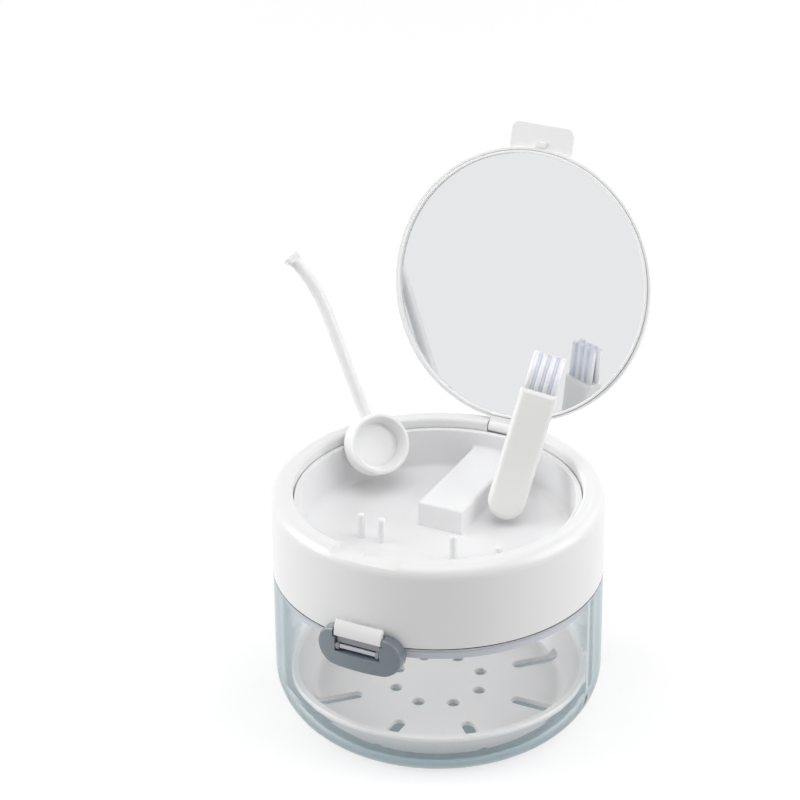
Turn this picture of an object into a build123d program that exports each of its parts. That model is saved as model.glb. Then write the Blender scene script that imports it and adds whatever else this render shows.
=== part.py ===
"""Denture case: a clear bath bowl with a drain basket, closed by a white upper body that holds
a tray for the brush and the remover tool, with a mirrored lid on top.

Origin at the middle of the bowl's underside, +Z up, the latch in front at -Y, the hinges at +Y.
The lid stands open, and the brush and the tool stand in the tray. Millimetres.
"""
from build123d import *
from math import cos, radians, sin, sqrt
import os

os.makedirs("parts", exist_ok=True)

# ---------------------------------------------------------------- driving dimensions
running_fit = 0.05          # radial clearance of a pin in its bore
seat_gap = 0.3              # gap between bodies that rest on or pass each other
cut_overrun = 1.0           # how far a cut starts outside what it cuts
pick_band = 0.01            # how far above and below a height its edges are picked

# whole case
case_radius = 49.0
seam_height = 48.0
rim_height = 74.0

# bowl
bowl_wall = 2.5
bowl_corner_radius = 16.5

# upper body
body_wall = 2.4
rim_outer_round = 3.7
rim_inner_round = 1.0
rim_roof = 2.5
rim_width = 6.6             # from the case's side in to the recess that the lid lies in
rim_skirt_thickness = 1.5
rim_skirt_height = 8.0
spigot_depth = 4.3
spigot_thickness = 1.0
spigot_root_height = 2.0
seal_thickness = 0.55
seal_bead = 0.28

# tray
ledge_drop = 3.1            # from the rim's top to the ledge that the lid lies on
tray_wall = 1.6
tray_depth = 12.7           # from the ledge to the tray floor
tray_draft = 0.6            # how much narrower the tray is at its floor
tray_flange_width = 2.2
tray_flange_thickness = 1.4
block_width = 14.3
block_front = 1.3           # y of the block's front face
block_height = 7.9
peg_radius = 1.15
peg_row = -12.3             # y of the row of holding pegs
rod_slot_x = -15.7          # middle of the two pegs that hold the tool's rod
brush_slot_x = 18.05        # middle of the two pegs that hold the brush
brush_slot_play = 0.5       # room on each side of the brush between its pegs

# lid
lid_open_angle = 107.5
lid_axis_set_back = 1.8     # from the recess back to the lid's hinge axis
lid_axis_drop = 1.8         # the lid's hinge axis below the rim's top
lid_play = 0.7              # between the lid and its recess
lid_roof = 1.3
lid_top = 2.0               # outer face above the hinge axis, with the lid closed
lid_edge_round = 1.1
lid_skirt = 0.7
lid_skirt_bottom = -0.6
bezel_clearance = 0.15
bezel_width = 0.85
bezel_front = -1.0          # front of the bezel, measured like lid_top
bezel_round = 0.25
mirror_clearance = 0.05
mirror_thickness = 0.55
adhesive_thickness = 0.15
adhesive_margin = 1.6
tab_width = 20.1
tab_inset = 0.3             # from the case's side in to the tab's end
tab_thickness = 1.3
tab_corner = 2.2
nub_width = 3.4
nub_depth = 1.2
nub_height = 0.7
nub_set_back = 0.5          # from the recess out to the nub's middle

# hinge pins
lid_pin_radius = 1.0
lid_knuckle_radius = 1.9
lid_knuckle_width = 7.2
rear_pin_radius = 1.2
rear_knuckle_radius = 2.2
rear_knuckle_stand = 0.4    # between the case's side and the knuckle
ear_bite = 0.6              # how far the ears' feet reach into the wall
pin_chamfer = 0.3
rear_knuckle_width = 10.0
rear_ear_width = 5.6
ear_drop = 7.6              # how far a hinge ear runs down, or up, the wall
hinge_pin_cover = 3.0       # how far the lid's pin runs into the rim on each side
knuckle_room = 1.0          # behind the lid's knuckle in its notch

# latch
boss_thickness = 3.7
boss_width = 26.3
boss_height = 12.2
boss_drop = 2.3             # its middle below the seam
boss_round = 0.9
latch_pin_radius = 0.85
latch_pin_drop = 1.8        # below the seam
latch_pin_reach = 2.1       # how far the pin's middle stands out from the case
latch_pin_length = 17.4
lever_width = 14.9
lever_rise = 6.1            # the lever's top above the seam
lip_rise = 1.4              # underside of the lip that a finger pulls, above the seam
lip_bevel = 0.4
lip_edge = 0.6
lever_belly = 0.5           # how far the flap's middle bulges past the lip
lever_tip_thickness = 0.6
lever_tip_bevel = 0.2
lever_foot_step = 0.1       # the foot's front outside the pin's middle
lever_lip_reach = 3.1       # how far the lip stands out from the case
lever_foot_width = 13.4
lever_ear_width = 0.9
lever_ear_radius = 1.2
lever_side_gap = 0.4
lever_round = 0.35
lever_nose = 0.5            # how far the lever's nose stands out of its back
catch_lift = 3.8            # underside of the rib that the lever's nose clips on, above the seam
catch_depth = 0.6
catch_rise = 1.2

# drain basket
basket_floor_height = 7.3
basket_floor = 1.5
basket_wall = 1.7
basket_play = 2.3           # between the basket's rim and the bowl
basket_rim_height = 15.7
basket_rim_band = 1.4
basket_taper = 5.2          # how much narrower the basket is at its floor
feet_inset = 9.0            # from the edge of the floor in to the feet
foot_radius = 2.0
hole_radius = 1.95
hole_ring_radius = 13.5
slot_width = 3.9
slot_length = 16.0
slot_overrun = 1.0          # how far a slot runs up into the basket's wall
slot_rise = 2.3             # how high a slot cuts above the floor
spokes = 8                  # holes and slots, one pair for each spoke

# brush
brush_width = 11.2
brush_thickness = 6.4
handle_length = 38.99
handle_round = 1.6
tuft_length = 11.7
tuft_radius = 1.05
tuft_columns = 4
tuft_rows = 2
tuft_pitch = 2.65
brush_stand_x = 15.32       # middle of the handle's round end
brush_stand_y = 15.20
brush_stand_rise = 6.79     # above the tray floor
brush_lean_angle = 58.75
brush_heading = 82.21
brush_face_heading = -71.63

# remover tool
head_radius = 9.3
head_height = 8.0
head_round = 0.9
dish_rim_radius = 8.2        # the dish in the head narrows from its rim
dish_foot_radius = 6.6       # to its foot
dish_depth = 4.2
disc_recess = 0.8
disc_thickness = 1.3
disc_clearance = 0.1
disc_round = 0.4
rod_radius = 1.9
rod_straight = 42.0
rod_reach = 61.5
rod_bend = 4.2              # how far the tip bends aside
hook_width = 5.0
hook_thickness = 2.0
tool_stand_inset = 9.923    # middle of the head's front face, from the tray's wall
tool_stand_angle = 149.997
tool_stand_rise = 16.09     # above the tray floor
tool_lean_angle = 58.82
tool_heading = 158.30
tool_face_heading = -35.13

# ---------------------------------------------------------------- sizes that follow
bowl_inner_radius = case_radius - bowl_wall
body_inner_radius = case_radius - body_wall
body_bottom = seam_height + seat_gap
spigot_radius = bowl_inner_radius - seat_gap - seal_thickness
lid_recess_radius = case_radius - rim_width
ledge_height = rim_height - ledge_drop
tray_floor = ledge_height - tray_depth
tray_outer_radius = lid_recess_radius - seat_gap
tray_radius = tray_outer_radius - tray_wall
skirt_bottom = rim_height - rim_skirt_height
skirt_outer_radius = lid_recess_radius + rim_skirt_thickness
peg_top = tray_floor + block_height
rod_slot = 2 * rod_radius + 2 * seat_gap
brush_slot = brush_width + 2 * brush_slot_play
lid_axis_y = lid_recess_radius + lid_axis_set_back
lid_axis_z = rim_height - lid_axis_drop
lid_radius = lid_recess_radius - lid_play
tab_reach = case_radius - tab_inset
nub_reach = lid_recess_radius + nub_set_back
hinge_notch_width = lid_knuckle_width + 2 * seat_gap
hinge_boss_width = hinge_notch_width + 2 * hinge_pin_cover + 2 * spigot_thickness
lid_pin_length = hinge_notch_width + 2 * hinge_pin_cover
rear_axis_y = case_radius + rear_knuckle_radius + rear_knuckle_stand
rear_axis_z = seam_height + seat_gap / 2
boss_radius = case_radius + boss_thickness
boss_middle = seam_height - boss_drop
latch_pin_height = seam_height - latch_pin_drop
latch_pin_y = -(case_radius + latch_pin_reach)
lever_top = seam_height + lever_rise
lever_lip_height = seam_height + lip_rise
catch_height = seam_height + catch_lift
lever_slot_width = lever_width + 2 * lever_side_gap
foot_slot_width = lever_foot_width + 2 * lever_side_gap
basket_underside = basket_floor_height - basket_floor
basket_rim_radius = bowl_inner_radius - basket_play
basket_base_radius = basket_rim_radius - basket_taper
basket_feet_radius = basket_base_radius - feet_inset
slot_end = basket_base_radius + slot_overrun
slot_start = slot_end - slot_length
slot_top = basket_floor_height + slot_rise
rod_bend_run = rod_reach - rod_straight


def direction(heading, elevation=0.0):
    """Unit vector from a compass heading about Z and an elevation, both in degrees."""
    flat = cos(radians(elevation))
    return Vector(flat * cos(radians(heading)), flat * sin(radians(heading)), sin(radians(elevation)))


def standing_plane(foot, along, face_heading):
    """Plane through foot whose normal faces face_heading, square to the direction along."""
    facing = direction(face_heading)
    normal = (facing - along * facing.dot(along)).normalized()
    return Plane(origin=foot, x_dir=along, z_dir=normal)


lid_plane = Plane(
    origin=(0, lid_axis_y, lid_axis_z),
    x_dir=(1, 0, 0),
    z_dir=(0, sin(radians(lid_open_angle)), cos(radians(lid_open_angle))),
)
lid_middle = Plane(
    origin=lid_plane.origin - lid_plane.y_dir * lid_axis_y,
    x_dir=lid_plane.x_dir,
    z_dir=lid_plane.z_dir,
)
lid_side = Plane(origin=lid_plane.origin, x_dir=lid_plane.y_dir, z_dir=(1, 0, 0))
rear_side = Plane(origin=(0, rear_axis_y, rear_axis_z), x_dir=(0, 1, 0), z_dir=(1, 0, 0))
latch_side = Plane(origin=(0, latch_pin_y, latch_pin_height), x_dir=(0, 1, 0), z_dir=(1, 0, 0))
lid_pin_side = Plane(origin=(0, lid_axis_y, lid_axis_z), x_dir=(0, 1, 0), z_dir=(1, 0, 0))
brush_stand = Vector(brush_stand_x, brush_stand_y, tray_floor + brush_stand_rise)
tool_stand = direction(tool_stand_angle) * (tray_radius - tool_stand_inset)
tool_stand = tool_stand + Vector(0, 0, tray_floor + tool_stand_rise)
brush_plane = standing_plane(brush_stand, direction(brush_heading, brush_lean_angle), brush_face_heading)
tool_face = standing_plane(tool_stand, direction(tool_heading, tool_lean_angle), tool_face_heading)
tool_plane = tool_face.offset(-head_height / 2)


# ---------------------------------------------------------------- bowl
ear_middle = rear_knuckle_width / 2 + seat_gap + rear_ear_width / 2
wall_at_ear = sqrt(case_radius**2 - (ear_middle + rear_ear_width / 2) ** 2) - ear_bite

with BuildPart() as bowl:
    Cylinder(case_radius, seam_height, align=(Align.CENTER, Align.CENTER, Align.MIN))
    fillet(bowl.edges().filter_by(GeomType.CIRCLE).sort_by(Axis.Z)[0], bowl_corner_radius)
    offset(amount=-bowl_wall, openings=bowl.faces().sort_by(Axis.Z)[-1])
    # the two outer ears of the rear hinge
    for side in (-1, 1):
        with BuildSketch(rear_side.offset(side * ear_middle)):
            Circle(rear_knuckle_radius)
            with BuildLine():
                Polyline(
                    (wall_at_ear - rear_axis_y, -seat_gap),
                    (0, -seat_gap),
                    (rear_knuckle_radius, 0),
                    (wall_at_ear - rear_axis_y, -ear_drop),
                    close=True,
                )
            make_face()
        extrude(amount=rear_ear_width / 2, both=True)
    with BuildSketch(rear_side):
        Circle(rear_pin_radius + running_fit)
    extrude(amount=ear_middle + rear_ear_width, both=True, mode=Mode.SUBTRACT)

# ---------------------------------------------------------------- rear hinge pin
with BuildPart() as rear_hinge_pin:
    with BuildSketch(rear_side):
        Circle(rear_pin_radius)
    extrude(amount=ear_middle + rear_ear_width / 2, both=True)
    chamfer(rear_hinge_pin.edges().filter_by(GeomType.CIRCLE), pin_chamfer)

# ---------------------------------------------------------------- upper shell
with BuildPart() as upper_shell:
    with BuildSketch(Plane.XZ):
        with BuildLine():
            Polyline(
                (spigot_radius - spigot_thickness, seam_height - spigot_depth),
                (spigot_radius, seam_height - spigot_depth),
                (spigot_radius, body_bottom),
                (case_radius, body_bottom),
                (case_radius, rim_height),
                (lid_recess_radius, rim_height),
                (lid_recess_radius, skirt_bottom),
                (skirt_outer_radius, skirt_bottom),
                (skirt_outer_radius, rim_height - rim_roof),
                (body_inner_radius, rim_height - rim_roof),
                (body_inner_radius, body_bottom + spigot_root_height),
                (spigot_radius - spigot_thickness, body_bottom + spigot_root_height),
                close=True,
            )
        make_face()
    revolve(axis=Axis.Z)
    rim_edges = upper_shell.edges().filter_by(GeomType.CIRCLE).group_by(Axis.Z)[-1].sort_by(SortBy.RADIUS)
    fillet(rim_edges[-1], rim_outer_round)
    rim_edges = upper_shell.edges().filter_by(GeomType.CIRCLE).group_by(Axis.Z)[-1].sort_by(SortBy.RADIUS)
    fillet(rim_edges[0], rim_inner_round)
    # bosses that fill the hollow rim under the lid's hinge and under its finger tab
    with BuildSketch(Plane.XY.offset(skirt_bottom)):
        with Locations((0, case_radius)):
            Rectangle(hinge_boss_width, 2 * case_radius)
        with Locations((0, -case_radius)):
            Rectangle(tab_width + 2 * body_wall, 2 * case_radius)
        Circle(body_inner_radius + body_wall / 4, mode=Mode.INTERSECT)
        Circle(lid_recess_radius, mode=Mode.SUBTRACT)
    extrude(amount=rim_skirt_height - rim_roof / 2)
    # the notch that the lid's knuckle turns in
    notch_back = lid_axis_y + lid_knuckle_radius + knuckle_room
    with BuildSketch(Plane.XY.offset(lid_axis_z - lid_knuckle_radius - seat_gap)):
        with Locations((0, notch_back - case_radius / 4)):
            Rectangle(hinge_notch_width, case_radius / 2)
    extrude(amount=rim_height, mode=Mode.SUBTRACT)
    with BuildSketch(lid_pin_side):
        Circle(lid_pin_radius)
    extrude(amount=lid_pin_length / 2, both=True, mode=Mode.SUBTRACT)
    # the notch that the finger tab lies in, with a pocket for its nub
    tab_seat = lid_axis_z + lid_top - tab_thickness - seat_gap
    with BuildSketch(Plane.XY.offset(tab_seat)):
        with Locations((0, -case_radius)):
            Rectangle(tab_width + 4 * seat_gap, case_radius / 2)
    extrude(amount=rim_height, mode=Mode.SUBTRACT)
    with BuildSketch(Plane.XY.offset(tab_seat)):
        with Locations((0, -nub_reach)):
            Rectangle(nub_width + 2 * seat_gap, nub_depth + 2 * seat_gap)
    extrude(amount=-nub_height - seat_gap, mode=Mode.SUBTRACT)
    # the rib that the latch hooks over
    with BuildSketch(Plane.YZ):
        with BuildLine():
            Polyline(
                (-case_radius + body_wall / 2, catch_height - catch_rise / 4),
                (-case_radius - catch_depth, catch_height),
                (-case_radius - catch_depth, catch_height + catch_rise),
                (-case_radius + body_wall / 2, catch_height + catch_rise),
                close=True,
            )
        make_face()
    extrude(amount=lever_width / 2 - lever_ear_width, both=True)
    # the middle knuckle of the rear hinge
    with BuildSketch(rear_side):
        Circle(rear_knuckle_radius)
        with BuildLine():
            Polyline(
                (body_inner_radius + body_wall / 4 - rear_axis_y, seat_gap),
                (0, seat_gap),
                (rear_knuckle_radius, 0),
                (body_inner_radius + body_wall / 4 - rear_axis_y, ear_drop),
                close=True,
            )
        make_face()
    extrude(amount=rear_knuckle_width / 2, both=True)
    with BuildSketch(rear_side):
        Circle(rear_pin_radius + running_fit)
    extrude(amount=rear_knuckle_width, both=True, mode=Mode.SUBTRACT)

# ---------------------------------------------------------------- seal ring
with BuildPart() as seal_ring:
    with BuildSketch(Plane.XZ):
        with Locations((spigot_radius + (seal_thickness - seal_bead) / 2, seam_height - spigot_depth / 2)):
            Rectangle(seal_thickness - seal_bead, spigot_depth - seat_gap)
        with Locations((spigot_radius + seal_thickness - seal_bead, seam_height - spigot_depth / 2)):
            Circle(seal_bead)
        with Locations((spigot_radius - seal_thickness, seam_height - spigot_depth / 2)):
            Rectangle(2 * seal_thickness, spigot_depth, mode=Mode.SUBTRACT)
    revolve(axis=Axis.Z)

# ---------------------------------------------------------------- tray insert
with BuildPart() as tray_insert:
    with BuildSketch(Plane.XZ):
        with BuildLine():
            Polyline(
                (0, tray_floor - tray_wall),
                (tray_outer_radius - tray_draft, tray_floor - tray_wall),
                (tray_outer_radius, skirt_bottom - tray_flange_thickness),
                (tray_outer_radius + tray_flange_width, skirt_bottom - tray_flange_thickness),
                (tray_outer_radius + tray_flange_width, skirt_bottom),
                (tray_outer_radius, skirt_bottom),
                (tray_outer_radius, ledge_height),
                (tray_radius, ledge_height),
                (tray_radius - tray_draft, tray_floor),
                (0, tray_floor),
                close=True,
            )
        make_face()
    revolve(axis=Axis.Z)
    rings = tray_insert.edges().filter_by(GeomType.CIRCLE)
    fillet(rings.group_by(Axis.Z)[0], tray_wall)
    rings = tray_insert.edges().filter_by(GeomType.CIRCLE).filter_by_position(
        Axis.Z, tray_floor - pick_band, tray_floor + pick_band)
    fillet(rings, tray_wall)
    # the block in the middle, hollow underneath
    with BuildSketch(Plane.XY.offset(tray_floor - tray_wall / 2)):
        with Locations((0, block_front + case_radius / 2)):
            Rectangle(block_width, case_radius)
        Circle(tray_outer_radius - tray_wall, mode=Mode.INTERSECT)
    extrude(amount=block_height + tray_wall / 2)
    block_edges = tray_insert.faces().filter_by(Plane.XY).filter_by_position(
        Axis.Z, peg_top - pick_band, peg_top + pick_band).edges().filter_by(GeomType.LINE)
    fillet(block_edges, tray_wall / 2)
    with BuildSketch(Plane.XY.offset(tray_floor - tray_wall)):
        with Locations((0, block_front + tray_wall + case_radius / 2)):
            Rectangle(block_width - 2 * tray_wall, case_radius)
        Circle(tray_radius - tray_draft - tray_wall, mode=Mode.INTERSECT)
    extrude(amount=block_height, mode=Mode.SUBTRACT)
    # pegs that hold the tool's rod and the brush
    with BuildSketch(Plane.XY.offset(tray_floor - tray_wall / 2)):
        for slot_x, slot in ((rod_slot_x, rod_slot), (brush_slot_x, brush_slot)):
            reach = slot / 2 + peg_radius
            with Locations((slot_x - reach, peg_row), (slot_x + reach, peg_row)):
                Circle(peg_radius)
    extrude(amount=block_height + tray_wall / 2)
    peg_tops = tray_insert.edges().filter_by(GeomType.CIRCLE).filter_by_position(
        Axis.Z, peg_top - pick_band, peg_top + pick_band)
    fillet(peg_tops, peg_radius * 0.7)

# ---------------------------------------------------------------- lid shell
with BuildPart() as lid_shell:
    with BuildSketch(lid_middle.offset(lid_skirt_bottom)):
        Circle(lid_radius)
    extrude(amount=lid_top - lid_skirt_bottom)
    outward = Axis(lid_middle.origin, lid_middle.z_dir)
    far_edge = lid_shell.edges().filter_by(GeomType.CIRCLE).sort_by(outward)[-1]
    fillet(far_edge, lid_edge_round)
    # the finger tab, and the nub that snaps into the rim
    with BuildSketch(lid_middle.offset(lid_top - tab_thickness)) as tab_outline:
        with Locations((0, -(tab_reach + lid_radius) / 2 + lid_edge_round)):
            Rectangle(tab_width, tab_reach - lid_radius + 2 * lid_edge_round)
        fillet(tab_outline.vertices().group_by(Axis.Y)[0], tab_corner)
    extrude(amount=tab_thickness)
    with BuildSketch(lid_middle.offset(lid_top - tab_thickness - nub_height)):
        with Locations((0, -nub_reach)):
            Rectangle(nub_width, nub_depth)
    extrude(amount=nub_height + tab_thickness / 2)
    # the knuckle and the arm that carries it
    with BuildSketch(lid_side):
        Circle(lid_knuckle_radius)
        with Locations((-(lid_axis_y - lid_radius + lid_skirt) / 2, (lid_knuckle_radius + bezel_front) / 2)):
            Rectangle(lid_axis_y - lid_radius + lid_skirt, lid_knuckle_radius - bezel_front)
    extrude(amount=lid_knuckle_width / 2, both=True)
    with BuildSketch(lid_middle.offset(bezel_front - cut_overrun)):
        Circle(lid_radius - lid_skirt)
    extrude(amount=lid_top - lid_roof - bezel_front + cut_overrun, mode=Mode.SUBTRACT)
    with BuildSketch(lid_side):
        Circle(lid_pin_radius + running_fit)
    extrude(amount=lid_knuckle_width, both=True, mode=Mode.SUBTRACT)

# ---------------------------------------------------------------- mirror and its bezel
bezel_radius = lid_radius - lid_skirt - bezel_clearance
mirror_back = lid_top - lid_roof - adhesive_thickness

with BuildPart() as mirror_bezel:
    with BuildSketch(lid_middle.offset(bezel_front)):
        Circle(bezel_radius)
        Circle(bezel_radius - bezel_width, mode=Mode.SUBTRACT)
    extrude(amount=lid_top - lid_roof - bezel_front)
    front_edges = mirror_bezel.edges().filter_by(GeomType.CIRCLE).group_by(
        Axis(lid_middle.origin, lid_middle.z_dir))[0]
    fillet(front_edges, bezel_round)

with BuildPart() as mirror_glass:
    with BuildSketch(lid_middle.offset(mirror_back - mirror_thickness)):
        Circle(bezel_radius - bezel_width - mirror_clearance)
    extrude(amount=mirror_thickness)

with BuildPart() as mirror_adhesive:
    with BuildSketch(lid_middle.offset(mirror_back)):
        Circle(bezel_radius - bezel_width - adhesive_margin)
    extrude(amount=adhesive_thickness)

# ---------------------------------------------------------------- lid hinge pin
with BuildPart() as lid_hinge_pin:
    with BuildSketch(lid_pin_side):
        Circle(lid_pin_radius)
    extrude(amount=lid_pin_length / 2, both=True)

# ---------------------------------------------------------------- latch
slot_bottom = latch_pin_height - lever_ear_radius - seat_gap
boss_top = boss_middle + boss_height / 2

with BuildPart() as latch_boss:
    with BuildSketch(Plane.XZ.offset(case_radius - 2 * boss_thickness)):
        with Locations((0, boss_middle)):
            SlotOverall(boss_width, boss_height)
    extrude(amount=4 * boss_thickness)
    with BuildSketch(Plane.XY.offset(boss_middle - boss_height)):
        Circle(boss_radius)
        Circle(case_radius, mode=Mode.SUBTRACT)
    extrude(amount=2 * boss_height, mode=Mode.INTERSECT)
    outer_face = latch_boss.faces().filter_by(GeomType.CYLINDER).sort_by(SortBy.AREA)
    outer_rim = max(outer_face, key=lambda face: face.radius).edges()
    fillet(outer_rim, boss_round)
    # above the seam the boss stands clear of the upper body
    with BuildSketch(Plane.XY.offset(seam_height)):
        Circle(case_radius + seat_gap)
    extrude(amount=boss_height, mode=Mode.SUBTRACT)
    # the slot that the lever turns in, wide for its flap and narrower for its foot
    lip_slot_bottom = lever_lip_height - seat_gap
    for slot_across, bottom in ((foot_slot_width, slot_bottom), (lever_slot_width, lip_slot_bottom)):
        with BuildSketch(Plane.XZ.offset(case_radius / 2)):
            with Locations((0, bottom + boss_height)):
                Rectangle(slot_across, 2 * boss_height)
        extrude(amount=case_radius, mode=Mode.SUBTRACT)
    with BuildSketch(latch_side):
        Circle(latch_pin_radius)
    extrude(amount=latch_pin_length / 2, both=True, mode=Mode.SUBTRACT)

with BuildPart() as latch_pin:
    with BuildSketch(latch_side):
        Circle(latch_pin_radius)
    extrude(amount=latch_pin_length / 2, both=True)

catch_top = catch_height + catch_rise
nose_tip = -(case_radius + catch_depth + seat_gap)
lever_back = nose_tip - lever_nose
lip_front = -(case_radius + lever_lip_reach)
foot_front = latch_pin_y - lever_foot_step
foot_bottom = latch_pin_height + latch_pin_radius + seat_gap

with BuildPart() as latch_lever:
    # the curved flap, with the nose at the top of its back
    with BuildSketch(Plane.YZ):
        with BuildLine():
            lip = Polyline(
                (lever_back, lever_lip_height),
                (foot_front, lever_lip_height),
                (lip_front, lever_lip_height + lip_bevel),
                (lip_front, lever_lip_height + lip_bevel + lip_edge),
            )
            curve = ThreePointArc(
                lip @ 1,
                (lip_front + lever_belly, (lever_lip_height + lever_top) / 2 + 2 * lip_bevel),
                (nose_tip - lever_tip_thickness, lever_top),
            )
            Polyline(
                curve @ 1,
                (nose_tip, lever_top - lever_tip_bevel),
                (nose_tip, catch_top),
                (lever_back, catch_top - lever_nose),
                (lever_back, lever_lip_height),
            )
        make_face()
    extrude(amount=lever_width / 2, both=True)
    flap_sides = latch_lever.edges().filter_by(GeomType.CIRCLE)
    fillet(flap_sides, lever_round)
    # the foot below it, and the ears that turn on the pin
    with BuildSketch(Plane.YZ):
        with Locations(((foot_front + lever_back) / 2, (foot_bottom + lever_lip_height + lever_nose) / 2)):
            Rectangle(lever_back - foot_front, lever_lip_height + lever_nose - foot_bottom)
    extrude(amount=lever_foot_width / 2, both=True)
    for side in (-1, 1):
        with BuildSketch(latch_side.offset(side * (lever_foot_width - lever_ear_width) / 2)):
            Circle(lever_ear_radius)
            with Locations(((foot_front + lever_back) / 2 - latch_pin_y, lever_ear_radius)):
                Rectangle(lever_back - foot_front, 2 * lever_ear_radius)
        extrude(amount=lever_ear_width / 2, both=True)
    with BuildSketch(latch_side):
        Circle(latch_pin_radius + running_fit)
    extrude(amount=lever_width, both=True, mode=Mode.SUBTRACT)

# ---------------------------------------------------------------- drain basket
with BuildPart() as drain_basket:
    with BuildSketch(Plane.XZ):
        with BuildLine():
            Polyline(
                (0, basket_underside),
                (basket_base_radius, basket_underside),
                (basket_rim_radius - seat_gap, basket_rim_height - basket_rim_band),
                (basket_rim_radius, basket_rim_height - basket_rim_band),
                (basket_rim_radius, basket_rim_height),
                (basket_rim_radius - basket_wall - seat_gap, basket_rim_height),
                (basket_base_radius - basket_wall, basket_floor_height),
                (0, basket_floor_height),
                close=True,
            )
        make_face()
    revolve(axis=Axis.Z)
    rings = drain_basket.edges().filter_by(GeomType.CIRCLE)
    fillet(rings.group_by(Axis.Z)[0], basket_floor)
    rings = drain_basket.edges().filter_by(GeomType.CIRCLE).filter_by_position(
        Axis.Z, basket_floor_height - pick_band, basket_floor_height + pick_band)
    fillet(rings, 2 * basket_floor)
    rings = drain_basket.edges().filter_by(GeomType.CIRCLE).group_by(Axis.Z)[-1]
    fillet(rings, basket_rim_band / 3)
    # feet that stand it off the bowl's floor
    with BuildSketch(Plane.XY.offset(basket_underside)):
        with PolarLocations(basket_feet_radius, 4, start_angle=22.5):
            Circle(foot_radius)
    extrude(amount=-(basket_underside - bowl_wall - seat_gap))
    # drain holes and slots
    with BuildSketch(Plane.XY.offset(bowl_wall)):
        with PolarLocations(hole_ring_radius, spokes):
            Circle(hole_radius)
        with PolarLocations((slot_start + slot_end) / 2, spokes):
            SlotOverall(slot_end - slot_start, slot_width)
    extrude(amount=slot_top - bowl_wall, mode=Mode.SUBTRACT)

# ---------------------------------------------------------------- brush
# the plane's X runs up the handle from the middle of its round end, and Y across its width
with BuildPart() as brush_handle:
    with BuildSketch(brush_plane.offset(-brush_thickness / 2)):
        Circle(brush_width / 2)
        with Locations(((handle_length - brush_width / 2) / 2, 0)):
            Rectangle(handle_length - brush_width / 2, brush_width)
    extrude(amount=brush_thickness)
    long_edges = brush_handle.faces().filter_by(brush_plane).edges()
    fillet(long_edges, handle_round)

with BuildPart() as brush_tufts:
    tuft_root = Plane(
        origin=brush_plane.origin + brush_plane.x_dir * (handle_length - brush_width / 2),
        x_dir=brush_plane.y_dir,
        z_dir=brush_plane.x_dir,
    )
    with BuildSketch(tuft_root):
        with GridLocations(tuft_pitch, tuft_pitch, tuft_columns, tuft_rows):
            Circle(tuft_radius)
    extrude(amount=tuft_length)

# ---------------------------------------------------------------- remover tool
# the plane's X runs up the rod from the middle of the head, and Z is the head's axis
with BuildPart() as tool_head:
    with BuildSketch(tool_plane.offset(-head_height / 2)):
        Circle(head_radius)
    extrude(amount=head_height)
    fillet(tool_head.edges().filter_by(GeomType.CIRCLE), head_round)
    # the dish in its face, and the seat of the disc at the dish's foot
    with BuildSketch(tool_face):
        Circle(dish_rim_radius)
    with BuildSketch(tool_face.offset(-dish_depth)):
        Circle(dish_foot_radius)
    loft(mode=Mode.SUBTRACT)
    with BuildSketch(tool_face.offset(-dish_depth)):
        Circle(dish_foot_radius)
    extrude(amount=-disc_recess, mode=Mode.SUBTRACT)

with BuildPart() as tool_disc:
    with BuildSketch(tool_face.offset(-dish_depth - disc_recess)):
        Circle(dish_foot_radius - disc_clearance)
    extrude(amount=disc_thickness)
    outward = Axis(tool_face.origin, tool_face.z_dir)
    disc_edge = tool_disc.edges().filter_by(GeomType.CIRCLE).group_by(outward)[-1]
    fillet(disc_edge, disc_round)

rod_root = head_radius - rod_radius
rod_foot = Plane(
    origin=tool_plane.origin + tool_plane.x_dir * rod_root,
    x_dir=tool_plane.y_dir,
    z_dir=tool_plane.x_dir,
)
tip_turn = 2 * rod_bend / rod_bend_run
tip_direction = tool_plane.x_dir * cos(tip_turn) + tool_plane.y_dir * sin(tip_turn)
tip_plane = Plane(
    origin=tool_plane.origin + tool_plane.x_dir * rod_reach + tool_plane.y_dir * rod_bend,
    x_dir=tool_plane.z_dir,
    z_dir=tip_direction,
)

with BuildPart() as tool_rod:
    with BuildLine(tool_plane) as rod_path:
        straight = Line((rod_root, 0), (rod_straight, 0))
        TangentArc(straight @ 1, (rod_reach, rod_bend), tangent=straight % 1)
    with BuildSketch(rod_foot):
        Circle(rod_radius)
    sweep(path=rod_path.line)
    # the foot of the rod is hollowed to sit on the side of the head
    with BuildSketch(tool_plane):
        Circle(head_radius)
    extrude(amount=rod_radius, both=True, mode=Mode.SUBTRACT)
    with BuildSketch(tip_plane.offset(-hook_thickness / 2)):
        RectangleRounded(2 * rod_radius, hook_width, rod_radius * 0.5)
    extrude(amount=hook_thickness)

# ---------------------------------------------------------------- names and files
pieces = {
    "bowl": bowl,
    "rear_hinge_pin": rear_hinge_pin,
    "upper_shell": upper_shell,
    "seal_ring": seal_ring,
    "tray_insert": tray_insert,
    "lid_shell": lid_shell,
    "mirror_bezel": mirror_bezel,
    "mirror_glass": mirror_glass,
    "mirror_adhesive": mirror_adhesive,
    "lid_hinge_pin": lid_hinge_pin,
    "latch_boss": latch_boss,
    "latch_pin": latch_pin,
    "latch_lever": latch_lever,
    "drain_basket": drain_basket,
    "brush_handle": brush_handle,
    "brush_tufts": brush_tufts,
    "tool_head": tool_head,
    "tool_disc": tool_disc,
    "tool_rod": tool_rod,
}
for name, piece in pieces.items():
    piece.part.label = name
    export_step(piece.part, "parts/" + name + ".step")
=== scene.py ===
import math
import random

import bmesh
import bpy
from mathutils import Matrix, Vector


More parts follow.
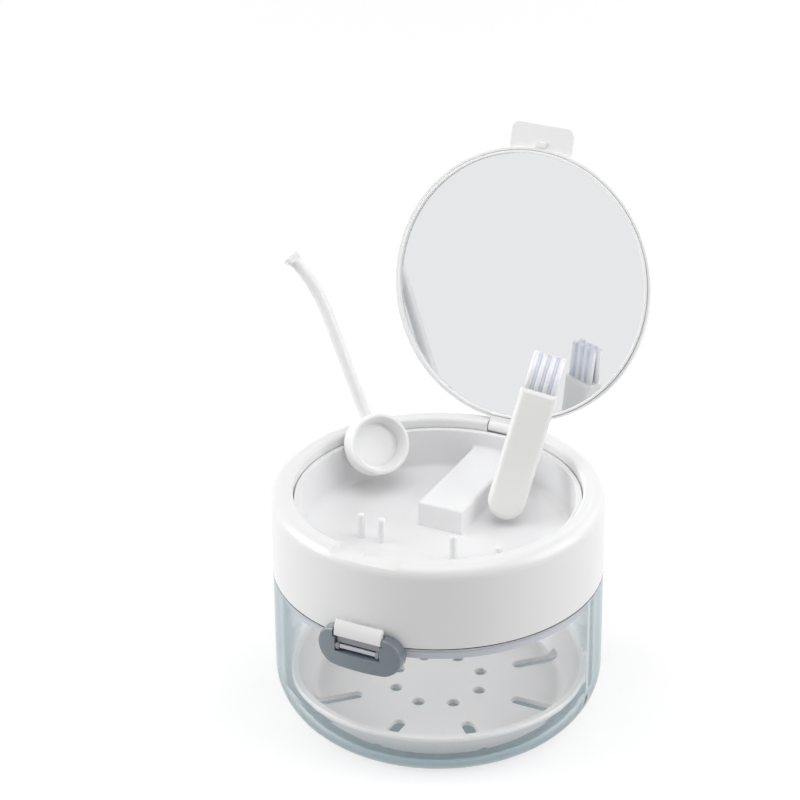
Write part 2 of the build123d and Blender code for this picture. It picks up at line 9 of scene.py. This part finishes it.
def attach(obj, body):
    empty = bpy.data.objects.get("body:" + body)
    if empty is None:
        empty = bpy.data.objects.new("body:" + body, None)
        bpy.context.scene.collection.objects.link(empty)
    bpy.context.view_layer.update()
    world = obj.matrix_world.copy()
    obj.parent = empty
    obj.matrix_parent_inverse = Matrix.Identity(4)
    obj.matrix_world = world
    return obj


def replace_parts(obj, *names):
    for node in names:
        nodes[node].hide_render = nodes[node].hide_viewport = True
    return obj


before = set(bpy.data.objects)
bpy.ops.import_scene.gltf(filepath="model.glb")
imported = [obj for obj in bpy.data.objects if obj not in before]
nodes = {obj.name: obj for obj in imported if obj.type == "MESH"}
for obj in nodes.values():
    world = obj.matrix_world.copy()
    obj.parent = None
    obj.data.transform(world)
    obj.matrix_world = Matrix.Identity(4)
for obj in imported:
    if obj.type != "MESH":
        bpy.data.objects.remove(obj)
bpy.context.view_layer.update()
MM = 0.001


# ------------------------------------------------------------------ shader groups

FLOW_DETAIL, SPARK_DETAIL, PIT_DETAIL = 3.0, 2.0, 1.0
MARK_SCALE = 260.0                              # cells of handling marks to the metre
MARK_WIDTH = 0.004                              # of a cell
MARK_ROUGHNESS = 0.2                            # how much a mark roughens the skin
WIRE_STRETCH = (30.0, 2600.0, 2600.0)           # streaks to the metre, along the wire and across it
PIT_SCALE = 3000.0                              # pits to the metre
PIT_SHARE = 0.3                                 # a pit's depth beside a streak's


def new_group(name, inputs, outputs):
    """An empty shader group: inputs are (name, default), outputs are (name, socket type)."""
    group = bpy.data.node_groups.new(name, "ShaderNodeTree")
    for label, default in inputs:
        socket = group.interface.new_socket(name=label, in_out="INPUT", socket_type="NodeSocketFloat")
        socket.default_value = default
    for label, kind in outputs:
        group.interface.new_socket(name=label, in_out="OUTPUT", socket_type=kind)
    return group, group.nodes.new("NodeGroupInput"), group.nodes.new("NodeGroupOutput")


def noise(tree, place, scale, detail):
    """A 3-D noise texture at a socket's or a number's scale."""
    texture = tree.nodes.new("ShaderNodeTexNoise")
    tree.links.new(place, texture.inputs["Vector"])
    if isinstance(scale, bpy.types.NodeSocket):
        tree.links.new(scale, texture.inputs["Scale"])
    else:
        texture.inputs["Scale"].default_value = scale
    texture.inputs["Detail"].default_value = detail
    return texture.outputs["Fac"]


def maths(tree, operation, first, second=0.0):
    """One Math node. Each operand is a socket or a number."""
    node = tree.nodes.new("ShaderNodeMath")
    node.operation = operation
    for slot, value in enumerate((first, second)):
        if isinstance(value, bpy.types.NodeSocket):
            tree.links.new(value, node.inputs[slot])
        else:
            node.inputs[slot].default_value = value
    return node.outputs[0]


def object_place(tree):
    """The place on the piece, in metres from the part's origin."""
    return tree.nodes.new("ShaderNodeTexCoord").outputs["Object"]


def moulded_skin_group():
    """Injection-moulded skin: soft gloss patches, a fine spark texture and faint handling marks."""
    group, entry, leave = new_group(
        "Moulded skin",
        [("Gloss", 0.3), ("Patchiness", 0.05), ("Texture Scale", 900.0), ("Flow Scale", 40.0),
         ("Marks", 0.3)],
        [("Roughness", "NodeSocketFloat"), ("Height", "NodeSocketFloat"), ("Tone", "NodeSocketFloat")])
    place = object_place(group)
    flow = noise(group, place, entry.outputs["Flow Scale"], FLOW_DETAIL)
    spark = noise(group, place, entry.outputs["Texture Scale"], SPARK_DETAIL)
    cells = group.nodes.new("ShaderNodeTexVoronoi")
    cells.feature = "DISTANCE_TO_EDGE"
    cells.inputs["Scale"].default_value = MARK_SCALE
    group.links.new(place, cells.inputs["Vector"])
    hairline = maths(group, "LESS_THAN", cells.outputs["Distance"], MARK_WIDTH)
    rubbed = maths(group, "MULTIPLY", maths(group, "MULTIPLY", hairline, entry.outputs["Marks"]), flow)
    marked = maths(group, "MULTIPLY", rubbed, MARK_ROUGHNESS)
    patch = maths(group, "MULTIPLY", maths(group, "SUBTRACT", flow, 0.5), entry.outputs["Patchiness"])
    rough = maths(group, "ADD", maths(group, "ADD", patch, entry.outputs["Gloss"]), marked)
    group.links.new(rough, leave.inputs["Roughness"])
    group.links.new(spark, leave.inputs["Height"])
    group.links.new(flow, leave.inputs["Tone"])
    return group


def drawn_steel_group():
    """Wire drawn along X: streaks along it, and small pits."""
    group, entry, leave = new_group(
        "Drawn steel",
        [("Gloss", 0.2), ("Streaks", 0.2)],
        [("Roughness", "NodeSocketFloat"), ("Height", "NodeSocketFloat"), ("Tone", "NodeSocketFloat")])
    place = object_place(group)
    stretch = group.nodes.new("ShaderNodeMapping")
    stretch.inputs["Scale"].default_value = WIRE_STRETCH
    group.links.new(place, stretch.inputs["Vector"])
    streak = noise(group, stretch.outputs["Vector"], 1.0, FLOW_DETAIL)
    pits = maths(group, "MULTIPLY", noise(group, place, PIT_SCALE, PIT_DETAIL), PIT_SHARE)
    streaked = maths(group, "MULTIPLY", streak, entry.outputs["Streaks"])
    group.links.new(maths(group, "ADD", streaked, entry.outputs["Gloss"]), leave.inputs["Roughness"])
    group.links.new(maths(group, "ADD", streak, pits), leave.inputs["Height"])
    group.links.new(streak, leave.inputs["Tone"])
    return group


MOULDED_SKIN = moulded_skin_group()
DRAWN_STEEL = drawn_steel_group()


# ------------------------------------------------------------------ materials

PLASTIC_IOR, CLEAR_IOR = 1.5, 1.49
PLASTIC_PATCHES = 0.08
SPARK_DEPTH = 0.02 * MM
COAT_ROUGHNESS = 0.12
GLOW_WEIGHT = 0.35                              # the share of light that sinks into a glowing plastic
GLOW_REACH = (1.0, 0.95, 0.9)                   # how far each colour of it spreads, beside the glow's depth

CLEAR_RIPPLE, CLEAR_RIPPLE_DEPTH = 0.05, 0.15 * MM
CLEAR_PASS = (0.985, 0.992, 0.995, 1.0)         # what one clear wall leaves of the light that goes inside
EDGE_START, EDGE_FULL = 0.36, 0.86              # the slant at which the clear plastic's edge colour, partly painted shade, sets in
EDGE_DEPTH = 0.95                               # how deep that colour and painted shade get
BASE_FADE, BASE_DEEP = 19.0 * MM, 4.0 * MM      # the heights between which the thick base deepens, partly with painted shade
CORNER_START, CORNER_FULL = 36 * MM, 45 * MM    # the distances from the axis that make the base's corner
BASE_DEPTH, CORNER_DEPTH = 0.72, 0.86           # how deep the base's colour and painted shade are, in its middle and at its corner

WIRE_STREAKS = 0.15
WIRE_RIPPLE, WIRE_RIPPLE_DEPTH = 0.15, 0.01 * MM
MIRROR_HAZE = 0.015
MIRROR_LIGHT, MIRROR_SHADE = (0.80, 0.81, 0.825), (0.77, 0.785, 0.80)
GLASS_COAT, GLASS_COAT_ROUGHNESS = 0.3, 0.02
BRISTLE_GLOSS = 0.35


def new_material(name):
    """A material with one Principled shader on its output."""
    material = bpy.data.materials.new(name)
    material.use_nodes = True
    tree = material.node_tree
    return material, tree, tree.nodes["Principled BSDF"], tree.nodes["Material Output"]


def place_group(tree, group, values):
    """A group node with its own values on the inputs."""
    node = tree.nodes.new("ShaderNodeGroup")
    node.node_tree = group
    for label, value in values.items():
        node.inputs[label].default_value = value
    return node


def two_tones(tree, mask, first, second):
    """Colour that drifts from first to second with a mask."""
    mix = tree.nodes.new("ShaderNodeMix")
    mix.data_type = "RGBA"
    mix.inputs["A"].default_value = (*first, 1.0)
    mix.inputs["B"].default_value = (*second, 1.0)
    tree.links.new(mask, mix.inputs["Factor"])
    return mix.outputs["Result"]


def fade(tree, value, start, full, lowest, highest):
    """A smooth step from lowest to highest, as a value goes from start to full."""
    step = tree.nodes.new("ShaderNodeMapRange")
    step.interpolation_type = "SMOOTHSTEP"
    for label, number in (("From Min", start), ("From Max", full), ("To Min", lowest), ("To Max", highest)):
        step.inputs[label].default_value = number
    tree.links.new(value, step.inputs["Value"])
    return step.outputs["Result"]


def mix_shaders(tree, share, first, second, output):
    """Two shaders mixed on the material's output."""
    mix = tree.nodes.new("ShaderNodeMixShader")
    tree.links.new(share, mix.inputs["Fac"])
    tree.links.new(first, mix.inputs[1])
    tree.links.new(second, mix.inputs[2])
    tree.links.new(mix.outputs["Shader"], output.inputs["Surface"])


def raise_surface(tree, height, strength, distance, shader):
    """Bump a height into the shader's normal."""
    bump = tree.nodes.new("ShaderNodeBump")
    bump.inputs["Strength"].default_value = strength
    bump.inputs["Distance"].default_value = distance
    tree.links.new(height, bump.inputs["Height"])
    tree.links.new(bump.outputs["Normal"], shader.inputs["Normal"])


def moulded_plastic(name, light, shade, gloss, coat=0.0, glow_depth=0.0, texture=0.06):
    """Opaque moulded plastic in two close tones. glow_depth is how far light sinks in, in metres."""
    material, tree, shader, _ = new_material(name)
    skin = place_group(tree, MOULDED_SKIN, {"Gloss": gloss, "Patchiness": PLASTIC_PATCHES})
    tree.links.new(two_tones(tree, skin.outputs["Tone"], light, shade), shader.inputs["Base Color"])
    tree.links.new(skin.outputs["Roughness"], shader.inputs["Roughness"])
    raise_surface(tree, skin.outputs["Height"], texture, SPARK_DEPTH, shader)
    shader.inputs["IOR"].default_value = PLASTIC_IOR
    shader.inputs["Coat Weight"].default_value = coat
    shader.inputs["Coat Roughness"].default_value = COAT_ROUGHNESS
    if glow_depth:
        shader.inputs["Subsurface Weight"].default_value = GLOW_WEIGHT
        shader.inputs["Subsurface Radius"].default_value = GLOW_REACH
        shader.inputs["Subsurface Scale"].default_value = glow_depth
    return material


def edge_depth_and_shade(tree):
    """How far a clear wall is seen edge on, where its colour deepens: partly the longer path through the
    wall, partly painted shade of darker surroundings reflected there.
    """
    slant = tree.nodes.new("ShaderNodeLayerWeight")
    slant.inputs["Blend"].default_value = 0.5
    return fade(tree, slant.outputs["Facing"], EDGE_START, EDGE_FULL, 0.0, EDGE_DEPTH)


def base_depth_and_shade(tree):
    """How thick the bowl is round its base, and most of all at the base's corner; the deeper colour there is
    partly that thickness and partly painted shade under the basket and the bowl.
    """
    place = tree.nodes.new("ShaderNodeSeparateXYZ")
    tree.links.new(object_place(tree), place.inputs["Vector"])
    squares = [maths(tree, "MULTIPLY", place.outputs[axis], place.outputs[axis]) for axis in "XY"]
    reach = maths(tree, "SQRT", maths(tree, "ADD", *squares))
    low = fade(tree, place.outputs["Z"], BASE_FADE, BASE_DEEP, 0.0, 1.0)
    corner = fade(tree, reach, CORNER_START, CORNER_FULL, BASE_DEPTH, CORNER_DEPTH)
    return maths(tree, "MULTIPLY", low, corner)


def clear_plastic(name, tint, edge_tint_and_shade, absorb_colour, absorb_density, gloss):
    """Clear tinted plastic, deeper in colour where it is seen edge on and round its base: partly its real
    thickness, partly painted shade.

    Shadow and diffuse rays pass straight, so that light reaches inside.
    """
    material, tree, shader, output = new_material(name)
    skin = place_group(tree, MOULDED_SKIN,
                       {"Gloss": gloss, "Patchiness": 0.03, "Flow Scale": 25.0, "Marks": 0.15})
    tree.links.new(skin.outputs["Roughness"], shader.inputs["Roughness"])
    raise_surface(tree, skin.outputs["Tone"], CLEAR_RIPPLE, CLEAR_RIPPLE_DEPTH, shader)
    # deeper colour at the edges and the base: partly the plastic's thickness, partly painted shade
    depth = maths(tree, "MAXIMUM", edge_depth_and_shade(tree), base_depth_and_shade(tree))
    tree.links.new(two_tones(tree, depth, tint, edge_tint_and_shade), shader.inputs["Base Color"])
    shader.inputs["IOR"].default_value = CLEAR_IOR
    shader.inputs["Transmission Weight"].default_value = 1.0
    absorb = tree.nodes.new("ShaderNodeVolumeAbsorption")
    absorb.inputs["Color"].default_value = (*absorb_colour, 1.0)
    absorb.inputs["Density"].default_value = absorb_density
    tree.links.new(absorb.outputs["Volume"], output.inputs["Volume"])
    rays = tree.nodes.new("ShaderNodeLightPath")
    passing = maths(tree, "MAXIMUM", rays.outputs["Is Shadow Ray"], rays.outputs["Is Diffuse Ray"])
    through = tree.nodes.new("ShaderNodeBsdfTransparent")
    through.inputs["Color"].default_value = CLEAR_PASS
    mix_shaders(tree, passing, shader.outputs["BSDF"], through.outputs["BSDF"], output)
    return material


def steel_wire(name, light, shade, gloss):
    """Bright drawn steel."""
    material, tree, shader, _ = new_material(name)
    wire = place_group(tree, DRAWN_STEEL, {"Gloss": gloss, "Streaks": WIRE_STREAKS})
    tree.links.new(two_tones(tree, wire.outputs["Tone"], light, shade), shader.inputs["Base Color"])
    tree.links.new(wire.outputs["Roughness"], shader.inputs["Roughness"])
    raise_surface(tree, wire.outputs["Height"], WIRE_RIPPLE, WIRE_RIPPLE_DEPTH, shader)
    shader.inputs["Metallic"].default_value = 1.0
    return material


def silvered_mirror(name):
    """Silvered glass: a polished metal under a thin clear coat, with the faintest haze."""
    material, tree, shader, _ = new_material(name)
    skin = place_group(tree, MOULDED_SKIN,
                       {"Gloss": MIRROR_HAZE, "Patchiness": 0.02, "Flow Scale": 60.0, "Marks": 0.05})
    tree.links.new(skin.outputs["Roughness"], shader.inputs["Roughness"])
    silver = two_tones(tree, skin.outputs["Tone"], MIRROR_LIGHT, MIRROR_SHADE)
    tree.links.new(silver, shader.inputs["Base Color"])
    shader.inputs["Metallic"].default_value = 1.0
    shader.inputs["Coat Weight"].default_value = GLASS_COAT
    shader.inputs["Coat Roughness"].default_value = GLASS_COAT_ROUGHNESS
    return material


def nylon_bristle(name, light, shade):
    """Fine nylon filament, in two close tones."""
    material, tree, shader, _ = new_material(name)
    skin = place_group(tree, MOULDED_SKIN,
                       {"Gloss": BRISTLE_GLOSS, "Patchiness": 0.1, "Flow Scale": 300.0, "Marks": 0.0})
    tree.links.new(two_tones(tree, skin.outputs["Tone"], light, shade), shader.inputs["Base Color"])
    tree.links.new(skin.outputs["Roughness"], shader.inputs["Roughness"])
    return material


# ------------------------------------------------------------------ finishes of the pieces

LEVER_SHADE_TOP = 49.35 * MM                     # the lever's painted shade ends here, under its white flap
TRAY_GLOW, WHITE_GLOW, BOSS_GLOW = 1.2 * MM, 0.8 * MM, 0.6 * MM


def finish_nodes():
    """Each CAD node gets its finish. A plastic is given as its light tone, its shade and its gloss."""
    white_body = moulded_plastic("White gloss body", (0.86, 0.86, 0.855), (0.84, 0.84, 0.84), 0.3, coat=0.25)
    white_lid = moulded_plastic("White gloss lid", (0.92, 0.92, 0.918), (0.90, 0.90, 0.90), 0.34, coat=0.15)
    white_bezel = moulded_plastic("White satin bezel", (0.95, 0.95, 0.948), (0.93, 0.93, 0.93), 0.45)
    tray_white = moulded_plastic("Tray white", (0.87, 0.87, 0.875), (0.85, 0.85, 0.86), 0.38,
                                 glow_depth=TRAY_GLOW)
    basket_white = moulded_plastic("Basket white", (0.985, 0.955, 0.95), (0.975, 0.945, 0.94), 0.36,
                                   coat=0.2, glow_depth=WHITE_GLOW)
    brush_white = moulded_plastic("Brush white", (0.86, 0.86, 0.85), (0.83, 0.83, 0.82), 0.42,
                                  glow_depth=WHITE_GLOW)
    tool_white = moulded_plastic("Tool white", (0.94, 0.94, 0.937), (0.92, 0.92, 0.917), 0.36,
                                 glow_depth=WHITE_GLOW)
    boss_grey = moulded_plastic("Smoky latch boss", (0.20, 0.24, 0.275), (0.16, 0.195, 0.23), 0.24,
                                coat=0.6, glow_depth=BOSS_GLOW)
    seal_lilac = moulded_plastic("Seal silicone", (0.70, 0.69, 0.76), (0.64, 0.64, 0.71), 0.6, texture=0.1)
    foam_tape = moulded_plastic("Foam tape", (0.72, 0.72, 0.70), (0.66, 0.66, 0.64), 0.8, texture=0.5)
    bowl_clear = clear_plastic("Clear bowl", tint=(0.995, 0.996, 0.998), edge_tint_and_shade=(0.03, 0.15, 0.19),
                               absorb_colour=(0.45, 0.62, 0.70), absorb_density=14.0, gloss=0.03)
    # steel colour partly darkened and tinted lilac as painted shade for the latch pin under the flap; the
    # hinge pins share it
    shaded_pin_steel = steel_wire("Pin steel with painted shade", (0.50, 0.50, 0.55), (0.34, 0.34, 0.39), 0.14)
    finishes = {
        "bowl": bowl_clear, "upper_shell": white_body, "tray_insert": tray_white, "seal_ring": seal_lilac,
        "lid_shell": white_lid, "mirror_bezel": white_bezel, "mirror_glass": silvered_mirror("Mirror"),
        "mirror_adhesive": foam_tape, "lid_hinge_pin": shaded_pin_steel, "rear_hinge_pin": shaded_pin_steel,
        "latch_pin": shaded_pin_steel, "latch_boss": boss_grey, "latch_lever": white_body,
        "drain_basket": basket_white, "brush_handle": brush_white, "tool_head": tool_white,
        "tool_rod": tool_white,
    }
    for name, material in finishes.items():
        nodes[name].data.materials.clear()
        nodes[name].data.materials.append(material)


def paint_lever_foot_shade():
    """The lever's foot and ears get a grey painted shade, for the shadow under its white flap."""
    lever = nodes["latch_lever"]
    # the foot is white plastic like the flap; its grey is painted shade
    lever.data.materials.append(
        moulded_plastic("Lever foot painted shade", (0.30, 0.30, 0.345), (0.25, 0.25, 0.29), 0.22, coat=0.5))
    for face in lever.data.polygons:
        if (lever.matrix_world @ face.center).z < LEVER_SHADE_TOP:
            face.material_index = 1


# ------------------------------------------------------------------ making meshes

def standing_axes(heading, lean, face_heading):
    """A standing piece's own directions: along it, out of its face, and across it."""
    flat = math.cos(lean)
    along = Vector((flat * math.cos(heading), flat * math.sin(heading), math.sin(lean)))
    facing = Vector((math.cos(face_heading), math.sin(face_heading), 0.0))
    out = (facing - along * facing.dot(along)).normalized()
    return along, out, out.cross(along)


def add_ring(mesh, centre, first, second, radius, sides):
    """A ring of corners round a centre, that turns from the first direction to the second."""
    turns = [2 * math.pi * side / sides for side in range(sides)]
    return [mesh.verts.new(centre + (first * math.cos(a) + second * math.sin(a)) * radius) for a in turns]


def join_rings(mesh, lower, upper):
    """A band of faces between two rings."""
    for side in range(len(lower)):
        after = (side + 1) % len(lower)
        mesh.faces.new((lower[side], lower[after], upper[after], upper[side]))


def smooth_object(name, mesh):
    """An object from a finished mesh, with smooth faces."""
    data = bpy.data.meshes.new(name)
    mesh.to_mesh(data)
    mesh.free()
    for face in data.polygons:
        face.use_smooth = True
    made = bpy.data.objects.new(name, data)
    bpy.context.scene.collection.objects.link(made)
    return made


# ------------------------------------------------------------------ brush bristles

BRUSH_STAND = Vector((15.32, 15.20, 64.99)) * MM      # middle of the handle's round end
BRUSH_HEADING = math.radians(82.21)
BRUSH_LEAN = math.radians(58.75)
BRUSH_FACE_HEADING = math.radians(-71.63)
HANDLE_LENGTH, HANDLE_WIDTH = 38.99 * MM, 11.2 * MM
TUFT_FOOT = HANDLE_LENGTH - HANDLE_WIDTH / 2          # from the stand point up to the bristles' roots
TUFT_LENGTH = 11.6 * MM
TUFT_PITCH = 2.65 * MM
# columns, rows, radius, filaments in each tuft, light and dark tone of the filaments
WHITE_TUFTS = (4, 2, 0.82 * MM, 34, (0.99, 0.99, 1.0), (0.96, 0.97, 1.0))
# pale blue filaments between the white tufts: painted shade in the gaps
GAP_SHADE_TUFTS = (3, 2, 0.55 * MM, 18, (0.84, 0.88, 0.98), (0.76, 0.81, 0.95))
FILAMENT_RADIUS = 0.11 * MM
FILAMENT_TAPER = 0.35                                 # how much thinner a filament is at its tip
FILAMENT_SIDES, FILAMENT_RINGS = 5, 4
FILAMENT_TURN, TURN_PLAY = 2.4, 0.2                   # radians from one filament to the next, and its play
ROOT_SINK = 0.3 * MM                                  # how far the filaments start inside the handle
TIP_PLAY = 0.5 * MM                                   # how much shorter than its tuft a filament may be
CORE_SIDES = 14
TIP_SHOW = 0.9 * MM                                   # how far the filaments stand out of a tuft's middle
TIP_SPREAD = 0.12                                     # how much wider a tuft is at its tip
BRISTLE_SEED = 7


def add_filament(mesh, root, tip, across, out):
    """One tapering filament from root to tip."""
    rings = []
    for ring in range(FILAMENT_RINGS + 1):
        share = ring / FILAMENT_RINGS
        radius = FILAMENT_RADIUS * (1.0 - FILAMENT_TAPER * share)
        rings.append(add_ring(mesh, root.lerp(tip, share), across, out, radius, FILAMENT_SIDES))
    for lower, upper in zip(rings, rings[1:]):
        join_rings(mesh, lower, upper)
    mesh.faces.new(list(reversed(rings[0])))
    mesh.faces.new(rings[-1])


def add_core(mesh, root, along, across, out, radius):
    """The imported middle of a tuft, which ends a little below the filaments' tips."""
    top = root + along * (TUFT_LENGTH - TIP_SHOW)
    lower = add_ring(mesh, root, across, out, radius, CORE_SIDES)
    upper = add_ring(mesh, top, across, out, radius * (1 + TIP_SPREAD), CORE_SIDES)
    join_rings(mesh, lower, upper)
    mesh.faces.new(list(reversed(lower)))
    mesh.faces.new(upper)


def bristle_tufts(name, tufts, chance):
    """One colour of the brush's tufts, filament by filament."""
    columns, rows, radius, filaments, light, shade = tufts
    along, out, across = standing_axes(BRUSH_HEADING, BRUSH_LEAN, BRUSH_FACE_HEADING)
    foot = BRUSH_STAND + along * TUFT_FOOT
    mesh = bmesh.new()
    for column in range(columns):
        for row in range(rows):
            side = (column - (columns - 1) / 2) * TUFT_PITCH
            rise = (row - (rows - 1) / 2) * TUFT_PITCH
            add_core(mesh, foot + across * side + out * rise, along, across, out, radius)
            for filament in range(filaments):
                reach = radius * math.sqrt((filament + 0.5) / filaments)
                turn = FILAMENT_TURN * filament + chance.uniform(-TURN_PLAY, TURN_PLAY)
                aside, up = reach * math.cos(turn), reach * math.sin(turn)
                root = foot + across * (side + aside) + out * (rise + up) - along * ROOT_SINK
                spread = 1 + TIP_SPREAD
                tip = foot + across * (side + aside * spread) + out * (rise + up * spread)
                tip += along * (TUFT_LENGTH - chance.uniform(0.0, TIP_PLAY))
                add_filament(mesh, root, tip, across, out)
    bristles = smooth_object(name, mesh)
    bristles.data.materials.append(nylon_bristle(name.replace("_", " ").capitalize(), light, shade))
    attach(bristles, "brush")
    return bristles


def brush_bristles():
    """White tufts in rows, with pale blue filaments between them as painted shade in the gaps."""
    chance = random.Random(BRISTLE_SEED)
    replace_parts(bristle_tufts("white_bristles", WHITE_TUFTS, chance), "brush_tufts")
    bristle_tufts("gap_shade_bristles", GAP_SHADE_TUFTS, chance)


# ------------------------------------------------------------------ tool button

TOOL_STAND = Vector((-26.48, 15.29, 74.29)) * MM      # middle of the head's front face
TOOL_HEADING = math.radians(158.30)
TOOL_LEAN = math.radians(58.82)
TOOL_FACE_HEADING = math.radians(-35.13)
BUTTON_RADIUS = 6.62 * MM
BUTTON_TOP, BUTTON_SEAT = 3.9 * MM, 4.9 * MM          # the depths of its middle and its foot in the dish
BUTTON_DOME, DOME_POWER = 0.45 * MM, 6                # how far the dome falls off, and how late
BUTTON_SIDES, BUTTON_RINGS = 96, 10
BUTTON_EDGE = math.radians(50)                        # folds sharper than this stay crisp


def tool_button():
    """The low domed button at the foot of the tool's dish."""
    along, out, across = standing_axes(TOOL_HEADING, TOOL_LEAN, TOOL_FACE_HEADING)
    mesh = bmesh.new()
    rings = []
    for ring in range(1, BUTTON_RINGS + 1):
        share = ring / BUTTON_RINGS
        centre = TOOL_STAND - out * (BUTTON_TOP + BUTTON_DOME * share ** DOME_POWER)
        rings.append(add_ring(mesh, centre, along, across, BUTTON_RADIUS * share, BUTTON_SIDES))
    rings.append(add_ring(mesh, TOOL_STAND - out * BUTTON_SEAT, along, across, BUTTON_RADIUS, BUTTON_SIDES))
    top = mesh.verts.new(TOOL_STAND - out * BUTTON_TOP)
    for side in range(BUTTON_SIDES):
        mesh.faces.new((top, rings[0][(side + 1) % BUTTON_SIDES], rings[0][side]))
    for inner, outer in zip(rings, rings[1:]):
        join_rings(mesh, inner, outer)
    mesh.faces.new(rings[-1])
    bmesh.ops.recalc_face_normals(mesh, faces=mesh.faces)
    button = smooth_object("tool_button", mesh)
    button.data.set_sharp_from_angle(angle=BUTTON_EDGE)
    button.data.materials.append(
        moulded_plastic("Tool button white", (0.97, 0.97, 0.975), (0.95, 0.95, 0.957), 0.25, coat=0.3))
    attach(button, "tool")
    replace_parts(button, "tool_disc")


# ------------------------------------------------------------------ floor, light and camera

FLOOR_SIZE = 6.0
FLOOR_DROP = 0.3 * MM                           # how far the floor lies below the bowl's foot
FLOOR_SEEN, FLOOR_BOUNCE = 1.12, 0.68           # the floor's tone to the eye, and to light that bounces
FLOOR_ROUGHNESS, FLOOR_SHEEN = 0.9, 0.1
FLOOR_GLOW = 1.05                               # plain white, a little over 1 so that it stays white
FLOOR_WHITE = 0.5                               # how much of the floor is plain white near the case
FLOOR_NEAR, FLOOR_FAR = 0.45, 1.0               # the distances between which it turns all white
FILL_LIGHT = 0.28
# where each softbox hangs, the height on the case's axis that it aims at, its side and its power
SOFTBOXES = {
    "top softbox": ((0.1, -0.15, 1.3), 0.05, 1.1, 6.5),
    "left softbox": ((-1.0, -0.45, 0.55), 0.05, 0.9, 8.9),
    "right softbox": ((1.0, 0.35, 0.55), 0.05, 0.9, 6.9),
    "back softbox": ((0.55, 0.95, 0.6), 0.03, 0.6, 1.2),
}
CAMERA_PLACE = Vector((302.57, -616.97, 451.24)) * MM
CAMERA_TARGET = Vector((-19.49, 14.47, 90.87)) * MM
CAMERA_ROLL = math.radians(-0.611)
CAMERA_LENS, CAMERA_SENSOR = 120.665, 36.0


def seen_rays(tree):
    """1 for the rays that look: camera, glossy and transmission rays."""
    rays = tree.nodes.new("ShaderNodeLightPath")
    looking = maths(tree, "MAXIMUM", rays.outputs["Is Camera Ray"], rays.outputs["Is Glossy Ray"])
    return maths(tree, "MAXIMUM", looking, rays.outputs["Is Transmission Ray"])


def looked_at(tree, seen, seen_value, other_value):
    """One value for the rays that look, and another for the light that bounces."""
    return maths(tree, "ADD", maths(tree, "MULTIPLY", seen, seen_value - other_value), other_value)


def floor_material():
    """Matt white that keeps the shadow, and turns plain white with the distance from the case."""
    material, tree, shader, output = new_material("Pale floor")
    seen = seen_rays(tree)
    tree.links.new(looked_at(tree, seen, FLOOR_SEEN, FLOOR_BOUNCE), shader.inputs["Base Color"])
    shader.inputs["Roughness"].default_value = FLOOR_ROUGHNESS
    shader.inputs["Specular IOR Level"].default_value = FLOOR_SHEEN
    white = tree.nodes.new("ShaderNodeEmission")
    white.inputs["Strength"].default_value = FLOOR_GLOW
    reach = tree.nodes.new("ShaderNodeVectorMath")
    reach.operation = "LENGTH"
    tree.links.new(object_place(tree), reach.inputs[0])
    whiteness = fade(tree, reach.outputs["Value"], FLOOR_NEAR, FLOOR_FAR, FLOOR_WHITE, 1.0)
    share = maths(tree, "MULTIPLY", seen, whiteness)
    mix_shaders(tree, share, shader.outputs["BSDF"], white.outputs["Emission"], output)
    return material


def pale_floor():
    """A plain pale floor under the case."""
    half = FLOOR_SIZE / 2
    corners = [(-half, -half, 0), (half, -half, 0), (half, half, 0), (-half, half, 0)]
    data = bpy.data.meshes.new("floor")
    data.from_pydata(corners, [], [(0, 1, 2, 3)])
    floor = bpy.data.objects.new("floor", data)
    floor.location = (0, 0, -FLOOR_DROP)
    bpy.context.scene.collection.objects.link(floor)
    data.materials.append(floor_material())


def soft_world():
    """White where it is looked at, and a plain fill light elsewhere."""
    world = bpy.data.worlds.new("Studio")
    bpy.context.scene.world = world
    world.use_nodes = True
    tree = world.node_tree
    background = tree.nodes["Background"]
    background.inputs["Color"].default_value = (1.0, 1.0, 1.0, 1.0)
    tree.links.new(looked_at(tree, seen_rays(tree), 1.0, FILL_LIGHT), background.inputs["Strength"])


def softbox(name, place, aim_height, side, power):
    """One square softbox, aimed at the case's axis."""
    lamp = bpy.data.lights.new(name, "AREA")
    lamp.shape = "RECTANGLE"
    lamp.size, lamp.size_y, lamp.energy = side, side, power
    box = bpy.data.objects.new(name, lamp)
    box.location = place
    aim = Vector((0.0, 0.0, aim_height)) - Vector(place)
    box.rotation_euler = aim.to_track_quat("-Z", "Y").to_euler()
    box.visible_camera = False
    bpy.context.scene.collection.objects.link(box)


def studio():
    """Broad soft light from above and both sides and a weak one behind, with the front in soft shade."""
    soft_world()
    for name, settings in SOFTBOXES.items():
        softbox(name, *settings)


def camera():
    """The camera, from the front and above, a little to the right."""
    data = bpy.data.cameras.new("camera")
    data.sensor_width = CAMERA_SENSOR
    data.lens = CAMERA_LENS
    view = bpy.data.objects.new("camera", data)
    view.location = CAMERA_PLACE
    look = (CAMERA_TARGET - CAMERA_PLACE).to_track_quat("-Z", "Y")
    view.rotation_euler = (look.to_matrix().to_4x4() @ Matrix.Rotation(CAMERA_ROLL, 4, "Z")).to_euler()
    bpy.context.scene.collection.objects.link(view)
    bpy.context.scene.camera = view


finish_nodes()
paint_lever_foot_shade()
brush_bristles()
tool_button()
pale_floor()
studio()
camera()
bpy.context.scene.view_settings.view_transform = "Standard"
